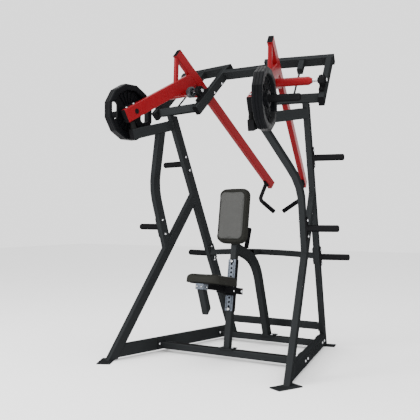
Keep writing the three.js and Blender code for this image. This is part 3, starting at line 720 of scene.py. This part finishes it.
def track_details():
    # The two black strips along the track's sides are painted shade: they stand for the shadowed,
    # dark-reflecting side flanges of the zinc track.
    painted_shade_strips = bmesh.new()
    middle, long = (TRACK_LOW + TRACK_HIGH) / 2, TRACK_HIGH - TRACK_LOW
    for side in (-1, 1):
        centre = by_column(side * (COLUMN / 2 + 0.0026), 0, middle)
        block(painted_shade_strips, centre, (ACROSS, COLUMN_OUT, COLUMN_UP), (0.0046, COLUMN - 0.004, long), 0.0012)
    piece("track_side_rails", painted_shade_strips, "cap_plastic", "frame")
    marks = bmesh.new()
    for i in range(HOLE_COUNT):
        up = HOLE_FIRST + HOLE_PITCH * i
        for side in (-1, 1):
            for row in range(4):
                wide = 0.014 if row == 0 else 0.009
                centre = by_column(side * 0.0205, COLUMN / 2 + 0.0053, up + 0.008 * (row - 1.5))
                block(marks, centre, (ACROSS, COLUMN_OUT, COLUMN_UP), (wide, 0.0007, 0.0040), 0.0)
        ring = [(0.0066, 0.0), (0.0090, 0.0), (0.0088, 0.0009), (0.0068, 0.0009)]
        turned(marks, by_column(0, COLUMN / 2 + 0.0052, up), COLUMN_OUT, ring + ring[:1], 20)
    piece("track_marks", marks, "cap_plastic", "frame")


def anti_slip_strips():
    bm = bmesh.new()
    for y, top, reach in ((0.537, 0.078, 0.470), (1.235, 0.074, 0.330)):
        for side in (-1, 1):
            near = 0.085
            centre = Vector((side * (near + reach) / 2, y + DEPTH_SHIFT, top))
            levels = [(0, -0.0002), (0, 0.0009), (0.0004, 0.0012)]
            layered(bm, centre, LEVEL, reach - near, 0.046, 0.004, levels)
    piece("crossbar_anti_slip", bm, "anti_slip", "frame")


NIPPLE = [(0, 0), (0.0042, 0), (0.0042, 0.003), (0.0024, 0.0036), (0.0024, 0.0055), (0.0033, 0.0068),
          (0.0018, 0.0090), (0, 0.0090)]


def bearings():
    """The steel inner rings and grease nipples of the pillow blocks."""
    bm = bmesh.new()
    for plane in ARM_PLANES:
        _, square = plane.slope(CHEEK_TILT)
        for w in CHEEK_WS.values():
            for end in (-1, 1):
                base = plane.at(w, PIVOT_D, PIVOT_Z) + plane.out * 0.0262 * end
                ring = [(0.0131, 0.0), (0.0205, 0.0), (0.0205, 0.0036), (0.0192, 0.0048), (0.0131, 0.0048)]
                turned(bm, base, plane.out * end, ring + ring[:1], 40)
            nipple = plane.at(w, PIVOT_D, PIVOT_Z) + square * 0.0405
            turned(bm, nipple, square, NIPPLE, 16)
    piece("bearing_rings", bm, "black_coat", "frame")


def brace_handle():
    low, high = Vector((0, 0.842, 0.826)), Vector((0, 0.900, 0.980))
    run = (high - low).normalized()
    long = (high - low).length
    base = low + Vector((0, DEPTH_SHIFT, 0)) + run * 0.0006
    bm = bmesh.new()
    grip = [(0, 0), (0.0205, 0), (0.0210, 0.003), (0.0172, 0.005), (0.0172, 0.012), (0.0182, 0.014)]
    for i in range(9):
        at = 0.022 + i * 0.0135
        grip += [(0.0182, at), (0.0171, at + 0.0012), (0.0171, at + 0.0024), (0.0182, at + 0.0036)]
    grip += [(0.0182, long - 0.010), (0.0160, long - 0.003), (0.0110, long - 0.0004), (0, long)]
    turned(bm, base, run, grip, 36)
    piece("brace_hand_grip", bm, "grip_rubber", "frame", "brace_handle", limit=60 * DEG)


BASE_SPAN = (0.022, 0.106)
DIAGONAL_SLOPE = 0.7067
DIAGONAL_REAR = -0.154 + 0.078 * math.hypot(1, DIAGONAL_SLOPE)


def frame_welds():
    bm = bmesh.new()
    for plane in ARM_PLANES:
        for w in CHEEK_WS.values():
            half_w, half_d = TUBE_WIDE / 2, TUBE_DEEP / 2 - 0.004
            for side in (-1, 1):
                ends = [by_cheek(plane, w + side * half_w, CHEEK_LONG, over) for over in (-half_d, half_d)]
                weld(bm, ends)
    inner, outer = FRAME_W - TUBE_WIDE / 2, FRAME_W + TUBE_WIDE / 2
    for plane in FRAME_PLANES:
        for w in (inner, outer):
            weld(bm, [plane.at(w, POST_FRONT + POST_SLOPE * z, z) for z in BASE_SPAN])
            weld(bm, [plane.at(w, DIAGONAL_REAR + DIAGONAL_SLOPE * z, z) for z in BASE_SPAN])
    foot_top = COLUMN_FOOT.z + FLANGE
    for x in (0.026, -0.026):
        weld(bm, [Vector((x, y + DEPTH_SHIFT, 0.0823)) for y in (1.188, 1.272)])
    half = COLUMN / 2
    ring = [(half, -half), (half, half), (-half, half), (-half, -half), (half, -half)]
    weld(bm, [Vector((x, COLUMN_FOOT.y + 0.0013 + y * 1.01, foot_top)) for x, y in ring], 0.0024)
    piece("frame_weld_beads", bm, "frame_coat", "frame", limit=70 * DEG)


# ---------------------------------------------------------------- lever arms


def on_arm(plane, along, over):
    run, square = plane.slope(ARM_TILT)
    return plane.at(ARM_W, *ARM_TOP) + run * along + square * over


def lever_arm(plane):
    body = f"{plane.name}_arm"
    arm = skin(f"{plane.name}_lever_arm", 0.0014)
    arm.data.materials.append(MATERIALS["bearing_grey"])
    inner_face = ARM_W - ARM_WIDE / 2
    hub = plane.at(0, PIVOT_D, PIVOT_Z)
    for face in arm.data.polygons:
        offset = face.center - hub
        w = offset.dot(plane.out)
        radius = (offset - plane.out * w).length
        if w < inner_face - 0.0006 and radius < 0.050:
            face.material_index = 1
    caps = bmesh.new()
    run, _ = plane.slope(ARM_TILT)
    end_cap(caps, on_arm(plane, 0, 0), -run, plane.out, ARM_WIDE, TUBE_DEEP)
    end_cap(caps, on_arm(plane, ARM_LONG, 0), run, plane.out, ARM_WIDE, TUBE_DEEP)
    load_run, load_over = plane.slope(LOAD_TILT)
    end_cap(caps, plane.at(ARM_W, *LOAD_END), -load_run, plane.out, ARM_WIDE, LOAD_DEEP)
    piece(f"{plane.name}_arm_end_caps", caps, "cap_plastic", body)
    bolts = Bolts(body)
    for along in (0.040, 0.115):
        bolts.add(plane.at(ARM_W, *LOAD_END) + load_run * along + load_over * LOAD_DEEP / 2, load_over, 0.9)
    for angle in (45, 135, 225, 315):
        out = around(plane.rear, UP, angle * DEG)
        bolts.add(plane.at(0.516, HORN_D, HORN_Z) + out * 0.0352, plane.out, 0.62)
    bolts.finish(body)


COLLAR = [(0.0124, 0), (0.0175, 0), (0.0180, 0.0006), (0.0180, 0.0054), (0.0175, 0.006), (0.0124, 0.006)]


def axle(plane):
    half_in, half_out = CHEEK_WS["inner"] - 0.036, CHEEK_WS["outer"] + 0.036
    long = half_out - half_in
    bm = bmesh.new()
    shaft = [(0, 0), (0.0112, 0), (0.0124, 0.0014), (0.0124, long - 0.0014), (0.0112, long), (0, long)]
    turned(bm, plane.at(half_in, PIVOT_D, PIVOT_Z), plane.out, shaft, 40)
    collars = bmesh.new()
    for start in (0.0035, long - 0.0095):
        base = plane.at(half_in + start, PIVOT_D, PIVOT_Z)
        turned(collars, base, plane.out, COLLAR + COLLAR[:1], 40)
    piece(f"{plane.name}_axle_shaft", bm, "bright_steel", f"{plane.name}_arm", f"{plane.name}_axle")
    piece(f"{plane.name}_axle_collars", collars, "black_coat", f"{plane.name}_arm")


def loading_horn(plane):
    outer = ARM_W + ARM_WIDE / 2
    inner = ARM_W - ARM_WIDE / 2
    base = plane.at(0, HORN_D, HORN_Z)
    end = HORN_END
    profile = [(0, inner - 0.0015), (0.0150, inner - 0.0015), (0.0160, inner - 0.0030),
               (0.0180, inner - 0.0030), (0.0190, inner - 0.0020), (0.0190, outer + 0.0003),
               (0.0442, outer + 0.0003), (0.0450, outer + 0.0011), (0.0450, outer + 0.0108),
               (0.0438, outer + 0.012), (0.0272, outer + 0.012), (0.0250, outer + 0.0138),
               (HORN_R, outer + 0.0165), (HORN_R, end - 0.0105), (0.0236, end - 0.0060),
               (0.0200, end - 0.0022), (0.0140, end - 0.0004), (0, end)]
    bm = bmesh.new()
    turned(bm, base, plane.out, profile, 48)
    piece(f"{plane.name}_loading_bar", bm, "black_coat", f"{plane.name}_arm", f"{plane.name}_loading_horn")


def handle(plane):
    root = on_arm(plane, ARM_LONG - 0.070, -TUBE_DEEP / 2 - 0.0003)
    elbow, tip = plane.at(0.487, 1.405, 1.222), plane.at(0.330, 1.401, 1.116)
    run, square = plane.slope(ARM_TILT)
    body = f"{plane.name}_arm"
    bm = bmesh.new()
    path = bent_points(root + square * 0.001, elbow, tip.lerp(elbow, 0.02), 0.036)
    sweep(bm, path, GRIP_R - 0.0008, 28)
    levels = [(0.0006, 0), (0, 0.0006), (0, 0.0052), (0.0008, 0.006)]
    layered(bm, root, (plane.out, run, -square), 0.032, 0.070, 0.008, levels)
    piece(f"{plane.name}_handle_bar", bm, "black_coat", body, f"{plane.name}_handle")
    weld_ring = bmesh.new()
    down = (elbow - root).normalized()
    ring = []
    for i in range(33):
        spread = around(plane.out, down.cross(plane.out), 2 * math.pi * i / 32)
        point = root + down * 0.009 + spread * GRIP_R
        drop = (point - (root - square * 0.006)).dot(square)
        ring.append(point - down * (drop / down.dot(square)))
    weld(weld_ring, ring, 0.0022)
    piece(f"{plane.name}_handle_weld", weld_ring, "black_coat", body, limit=70 * DEG)
    grip = bmesh.new()
    start = elbow.lerp(tip, 0.26)
    along = (tip - start).normalized()
    long = (tip - start).length
    sleeve = [(0.0, 0.0), (0.0176, 0.0), (0.0190, 0.0), (0.0196, 0.0012), (0.0196, 0.004),
              (0.0188, 0.006), (0.0188, long - 0.006), (0.0198, long - 0.004), (0.0198, long - 0.0008),
              (0.0180, long + 0.001), (0.0, long + 0.0016)]
    turned(grip, start, along, sleeve, 32)
    piece(f"{plane.name}_hand_grip", grip, "grip_rubber", body)


# ---------------------------------------------------------------- weight plates

SLOT_FROM_BORE, SLOT_WIDE, SLOT_LONG, SLOT_CORNER = 0.143, 0.062, 0.124, 0.024


def plate_outline(angle):
    """Radius of a unit twelve-sided plate with a flat top, angle from straight up."""
    sector = 30 * DEG
    within = (angle + sector / 2) % sector - sector / 2
    return math.cos(sector / 2) / math.cos(within)


def plate_profile():
    """(radius, height, how polygonal) round the plate's section, from the bore over both faces."""
    rim, deep = PLATE_R, (PLATE_THICK - PLATE_WEB) / 2
    face = [(0.0330, 0.004, 0), (0.0500, 0.004, 0), (0.0525, 0.006, 0), (0.0560, deep - 0.003, 0),
            (0.0610, deep, 0), (0.1500, deep, 0.7), (0.1560, deep - 0.003, 0.9), (0.1620, 0.004, 1),
            (0.1655, 0.0010, 1), (0.1690, 0.0, 1), (rim - 0.008, 0.0, 1), (rim - 0.0058, 0.0008, 1),
            (rim - 0.0010, 0.0052, 1), (rim, 0.0068, 1)]
    flank = []
    for groove in (0.024, 0.0435):
        flank += [(rim, groove - 0.0010, 1), (rim - 0.0026, groove, 1), (rim - 0.0026, groove + 0.0020, 1),
                  (rim, groove + 0.0030, 1)]
    back = [(radius, PLATE_THICK - height, polygon) for radius, height, polygon in face[::-1]]
    return face + flank + back


def weight_plate(plane):
    body = f"{plane.name}_plate"
    base = plane.at(PLATE_IN, HORN_D, HORN_Z)
    samples = 96
    bm = bmesh.new()
    rings = []
    for radius, along, polygon in plate_profile():
        ring = []
        for i in range(samples):
            angle = 2 * math.pi * i / samples
            reach = radius * (1 + polygon * (plate_outline(angle) - 1))
            spread = around(UP, plane.rear, angle)
            ring.append(bm.verts.new(base + plane.out * along + spread * reach))
        rings.append(ring)
    bridge(bm, rings + rings[:1])
    bmesh.ops.recalc_face_normals(bm, faces=bm.faces[:])
    plate = new_object(f"{plane.name}_rubber_plate", bm, "plate_rubber")
    cut_slots(plate, plane, base)
    resoften(plate.data, 22 * DEG)
    settle(weighted(plate), body, "plate_rubber", f"{plane.name}_weight_plate")
    plate_details(plane, base, body)


def cut_slots(plate, plane, base):
    cutter = bmesh.new()
    for side in (-1, 1):
        centre = base + plane.rear * SLOT_FROM_BORE * side
        axes = (plane.rear, UP, plane.out)
        flare = [(-0.009, -0.02), (-0.009, 0.0), (-0.004, 0.007), (0, 0.013), (0, PLATE_THICK - 0.013),
                 (-0.004, PLATE_THICK - 0.007), (-0.009, PLATE_THICK), (-0.009, PLATE_THICK + 0.02)]
        layered(cutter, centre, axes, SLOT_WIDE, SLOT_LONG, SLOT_CORNER, flare, 8)
    bmesh.ops.recalc_face_normals(cutter, faces=cutter.faces[:])
    tool = new_object("slot_cutter", cutter, "plate_rubber")
    modified(plate, "slots", "BOOLEAN", operation="DIFFERENCE", solver="EXACT", object=tool)
    baked(plate)
    bpy.data.objects.remove(tool)


def plate_details(plane, base, body):
    web = (PLATE_THICK - PLATE_WEB) / 2
    ribs = bmesh.new()
    for face, outwards in ((PLATE_THICK - web, 1), (web, -1)):
        for angle in (-40, -24, -8, 8, 24, 40, 140, 156, 172, 188, 204, 220):
            spread = around(UP, plane.rear, angle * DEG)
            square = plane.out.cross(spread)
            centre = base + plane.out * (face + outwards * 0.0035) + spread * 0.1040
            block(ribs, centre, (spread, square, plane.out), (0.084, 0.0075, 0.0090), 0.0022)
        ring = [(0.1010, -0.001), (0.1020, 0.0030), (0.1060, 0.0030), (0.1070, -0.001)]
        for low, high in ((-46, 46), (134, 226)):
            arc(ribs, base + plane.out * face, plane, outwards, ring, low * DEG, high * DEG)
    piece(f"{plane.name}_plate_ribs", ribs, "plate_rubber", body)
    sleeve = bmesh.new()
    top = PLATE_THICK - 0.0030
    ring = [(0.0254, 0.0040), (0.0330, 0.0030), (0.0338, 0.0060), (0.0310, 0.0075),
            (0.0310, top - 0.0045), (0.0340, top - 0.0040), (0.0340, top - 0.0010), (0.0325, top),
            (0.0262, top), (0.0254, top - 0.0008)]
    turned(sleeve, base, plane.out, ring + ring[:1], 48)
    piece(f"{plane.name}_plate_sleeve", sleeve, "black_coat", body)


ARC_STEPS = 24


def arc(bm, centre, plane, outwards, section, start, end):
    """A closed rib whose section, as (radius, height), runs round part of the plate's face."""
    rings = []
    for i in range(ARC_STEPS + 1):
        spread = around(UP, plane.rear, start + (end - start) * i / ARC_STEPS)
        rings.append([bm.verts.new(centre + spread * r + plane.out * outwards * h) for r, h in section])
    bridge(bm, rings)
    bm.faces.new(rings[0][::-1])
    bm.faces.new(rings[-1])


# ---------------------------------------------------------------- seat

SEAT_UP, SEAT_OUT = 0.463, 0.302
CARRIAGE_UP = SEAT_UP - 0.026
BRACKET_OUT, BRACKET_UP = 0.440, SEAT_UP - 0.0256
CHEST_UP = 1.002
PIN_UP = HOLE_FIRST + HOLE_PITCH * 3


def seat_hardware():
    bolts = Bolts("seat")
    for side in (-1, 1):
        bolts.add(by_column(side * 0.038, -0.082, CARRIAGE_UP), ACROSS * side, 1.35)
        bolts.add(by_column(side * 0.038, 0.040, CARRIAGE_UP - 0.004), ACROSS * side, 0.8)
    for side in (-1, 1):
        bolts.add(by_column(side * 0.018, BRACKET_OUT + 0.033, BRACKET_UP), COLUMN_OUT, 0.62)
        bolts.add(by_column(side * 0.032, BRACKET_OUT - 0.012, BRACKET_UP), ACROSS * side, 0.62)
    bolts.finish("seat")


def pop_pin():
    bm = bmesh.new()
    axis_from = by_column(0, 0, PIN_UP)
    rod = [(0, 0.020), (0.0040, 0.020), (0.0054, 0.0225), (0.0054, 0.094), (0, 0.094)]
    turned(bm, axis_from, COLUMN_OUT, rod, 32)
    piece("pin_rod", bm, "bright_steel", "pin", "pop_pin")
    knob = bmesh.new()
    profile = [(0, 0.091), (0.0085, 0.091), (0.0100, 0.0925), (0.0110, 0.097), (0.0148, 0.101),
               (0.0150, 0.104), (0.0150, 0.110), (0.0138, 0.1145), (0.0095, 0.1160), (0, 0.1162)]
    turned(knob, axis_from, COLUMN_OUT, profile, 40)
    piece("pin_knob", knob, "cap_plastic", "pin")


# ---------------------------------------------------------------- pads


def pad_slab(size, shrink):
    """The pad's closed starting shape in its own frame: flat back at z = 0, rounded towards +Z."""
    thick = size["thick"] - shrink
    bm = bmesh.new()
    levels = [(0.012, 0.0), (0.004, 0.0012), (0.0008, 0.005), (0, 0.012), (0, thick - 0.022),
              (0.0022, thick - 0.013), (0.0075, thick - 0.006), (0.016, thick - 0.0015), (0.030, thick)]
    wide, deep = size["wide"] - 2 * shrink, size["deep"] - 2 * shrink
    layered(bm, Vector(), LEVEL, wide, deep, size["corner"], levels, 8)
    bmesh.ops.recalc_face_normals(bm, faces=bm.faces[:])
    return bm


def swell(obj, pressure, cap):
    """Blows the cover up over its board with cloth, and limits how far any point moves."""
    start = [v.co.copy() for v in obj.data.vertices]
    board = obj.vertex_groups.new(name="board")
    board.add([v.index for v in obj.data.vertices if v.co.z < 0.004], 1.0, "REPLACE")
    cloth = obj.modifiers.new("Cloth", "CLOTH")
    cloth.settings.use_pressure = True
    cloth.settings.uniform_pressure_force = pressure
    cloth.settings.effector_weights.gravity = 0
    cloth.settings.vertex_group_mass = "board"
    cloth.settings.quality = 5
    cloth.settings.tension_stiffness = 12
    cloth.settings.compression_stiffness = 12
    scene = bpy.context.scene
    for number in range(1, 21):
        scene.frame_set(number)
    baked(obj)
    scene.frame_set(1)
    for vertex, before in zip(obj.data.vertices, start):
        move = vertex.co - before
        if move.length > cap:
            vertex.co = before + move.normalized() * cap


SLAB_SHRINK = 0.0035  # the cover starts this much inside its final outline
PRESSURE, FARTHEST = 4.0, 0.0075
VOXEL = 0.005
CROWN = 0.0035


def cushion(name, node, body, size, matrix):
    obj = new_object(name, pad_slab(size, SLAB_SHRINK), "pad_vinyl", PAD_MATERIALS[name])
    modified(obj, "remesh", "REMESH", mode="VOXEL", voxel_size=VOXEL)
    baked(obj)
    swell(obj, PRESSURE, FARTHEST)
    wide, deep, thick = size["wide"] / 2, size["deep"] / 2, size["thick"]
    bm = bmesh.new()
    bm.from_mesh(obj.data)
    for _ in range(2):
        bmesh.ops.smooth_vert(bm, verts=bm.verts[:], factor=0.5,
                              use_axis_x=True, use_axis_y=True, use_axis_z=True)
    for vertex in bm.verts:
        u, v = vertex.co.x / wide, vertex.co.y / deep
        crown = CROWN * max(0.0, 1 - u * u) * max(0.0, 1 - v * v)
        if vertex.co.z > thick * 0.6:
            vertex.co.z += crown
            vertex.co.z -= seam_dip(vertex.co, size)
        vertex.co.x = max(-wide, min(wide, vertex.co.x))
        vertex.co.y = max(-deep, min(deep, vertex.co.y))
        vertex.co.z = max(0.0, min(thick + 0.003, vertex.co.z))
    for face in bm.faces:
        face.smooth = True
    bm.to_mesh(obj.data)
    bm.free()
    obj.matrix_world = matrix
    modified(obj, "fine", "SUBSURF", levels=1, render_levels=1)
    bpy.context.view_layer.update()
    baked(obj)
    settle(obj, body, "pad_vinyl", node)
    piping(name, body, obj, size, matrix)


def panel_distance(x, y, size):
    """How far a point lies from the edge of the pale panel."""
    half_x, half_y = size["wide"] / 2 - PAD_MARGIN[0], size["deep"] / 2 - PAD_MARGIN[1]
    over_x = max(abs(x) - (half_x - PANEL_CORNER), 0.0)
    over_y = max(abs(y) - (half_y - PANEL_CORNER), 0.0)
    if over_x == 0 and over_y == 0:
        return min(half_x - abs(x), half_y - abs(y))
    return abs(math.hypot(over_x, over_y) - PANEL_CORNER)


def seam_dip(co, size):
    return 0.0022 * math.exp(-(panel_distance(co.x, co.y, size) / 0.006) ** 2)


def piping(name, body, obj, size, matrix):
    """A welted seam round the pale panel and a line of stitches beside it, laid on the pad's surface."""
    corners = [vertex.co.copy() for vertex in obj.data.vertices]
    tree = BVHTree.FromPolygons(corners, [face.vertices[:] for face in obj.data.polygons])
    wide, deep = size["wide"] - 2 * PAD_MARGIN[0], size["deep"] - 2 * PAD_MARGIN[1]

    def on_surface(x, y, lift):
        hit = tree.ray_cast(Vector((x, y, 0.2)), Vector((0, 0, -1)))[0]
        return matrix @ (hit + UP * lift)

    def loop(inset):
        flat = outline(wide - 2 * inset, deep - 2 * inset, PANEL_CORNER - inset, 8)
        dense = []
        for a, b in zip(flat, flat[1:] + flat[:1]):
            steps = max(1, int(math.dist(a, b) / 0.006))
            for i in range(steps):
                dense.append((a[0] + (b[0] - a[0]) * i / steps, a[1] + (b[1] - a[1]) * i / steps))
        return dense

    welt = bmesh.new()
    points = [on_surface(x, y, 0.0004) for x, y in loop(0.0)]
    sweep(welt, points + points[:1], 0.0016, 8)
    piece(f"{name}_welt", welt, "pad_border", body)
    thread = bmesh.new()
    points = [on_surface(x, y, 0.0003) for x, y in loop(-0.0055)]
    for a, b in zip(points, points[1:]):
        sweep(thread, [a.lerp(b, 0.12), a.lerp(b, 0.5), a.lerp(b, 0.88)], 0.0006, 6)
    piece(f"{name}_stitches", thread, "cap_plastic", body)


def pads():
    chest_at = by_column(0, COLUMN / 2 + 0.0120, CHEST_UP)
    chest = Matrix((ACROSS, COLUMN_UP, COLUMN_OUT)).transposed().to_4x4()
    cushion("chest_cushion", "chest_pad", "frame", CHEST_PAD, Matrix.Translation(chest_at) @ chest)
    seat_at = by_column(0, SEAT_OUT, SEAT_UP)
    seat = Matrix((ACROSS, -COLUMN_OUT, COLUMN_UP)).transposed().to_4x4()
    cushion("seat_cushion", "seat_pad", "seat", SEAT_PAD, Matrix.Translation(seat_at) @ seat)


# ---------------------------------------------------------------- floor, light and camera


WORLD_STRENGTH = 1.8


def studio():
    bpy.ops.mesh.primitive_plane_add(size=30, location=(0, 0, 0))
    floor = bpy.context.object
    floor.name = "studio_floor"
    floor.data.materials.append(studio_floor())
    world = bpy.data.worlds.new("studio")
    world.use_nodes = True
    background = world.node_tree.nodes["Background"].inputs
    background["Color"].default_value = (1, 1, 1, 1)
    background["Strength"].default_value = WORLD_STRENGTH
    bpy.context.scene.world = world
    softbox("key", (-3.2, -4.6, 3.6), 2.4, 330)
    softbox("top", (0.4, -0.6, 5.6), 3.0, 150)
    softbox("fill", (3.4, -4.4, 1.9), 2.6, 130)


def softbox(name, place, size, power):
    lamp = bpy.data.lights.new(name, "AREA")
    lamp.energy = power
    lamp.size = size
    obj = linked(name, lamp)
    obj.location = place
    obj.rotation_euler = (Vector((0, 0, 1.1)) - Vector(place)).to_track_quat("-Z", "Y").to_euler()


CAMERA_PLACE = (2.4712, -3.8325 + DEPTH_SHIFT, 1.080)
CAMERA_AZIMUTH, CAMERA_PITCH, CAMERA_LENS = 30.98 * DEG, 0.48 * DEG, 57.08


def camera():
    data = bpy.data.cameras.new("camera")
    data.lens = CAMERA_LENS
    obj = linked("camera", data)
    obj.location = CAMERA_PLACE
    obj.rotation_euler = (math.pi / 2 + CAMERA_PITCH, 0, CAMERA_AZIMUTH)
    bpy.context.scene.camera = obj


# ---------------------------------------------------------------- build

PAD_MATERIALS = {"chest_cushion": pad_material("chest_vinyl", CHEST_PAD),
                 "seat_cushion": pad_material("seat_vinyl", SEAT_PAD)}
camera()
studio()
frame_skins()
frame_caps()
rest_bumpers()
storage_horns()
frame_bolts()
track_details()
anti_slip_strips()
bearings()
brace_handle()
frame_welds()
for arm_plane in ARM_PLANES:
    lever_arm(arm_plane)
    axle(arm_plane)
    loading_horn(arm_plane)
    handle(arm_plane)
    weight_plate(arm_plane)
seat_hardware()
pop_pin()
pads()
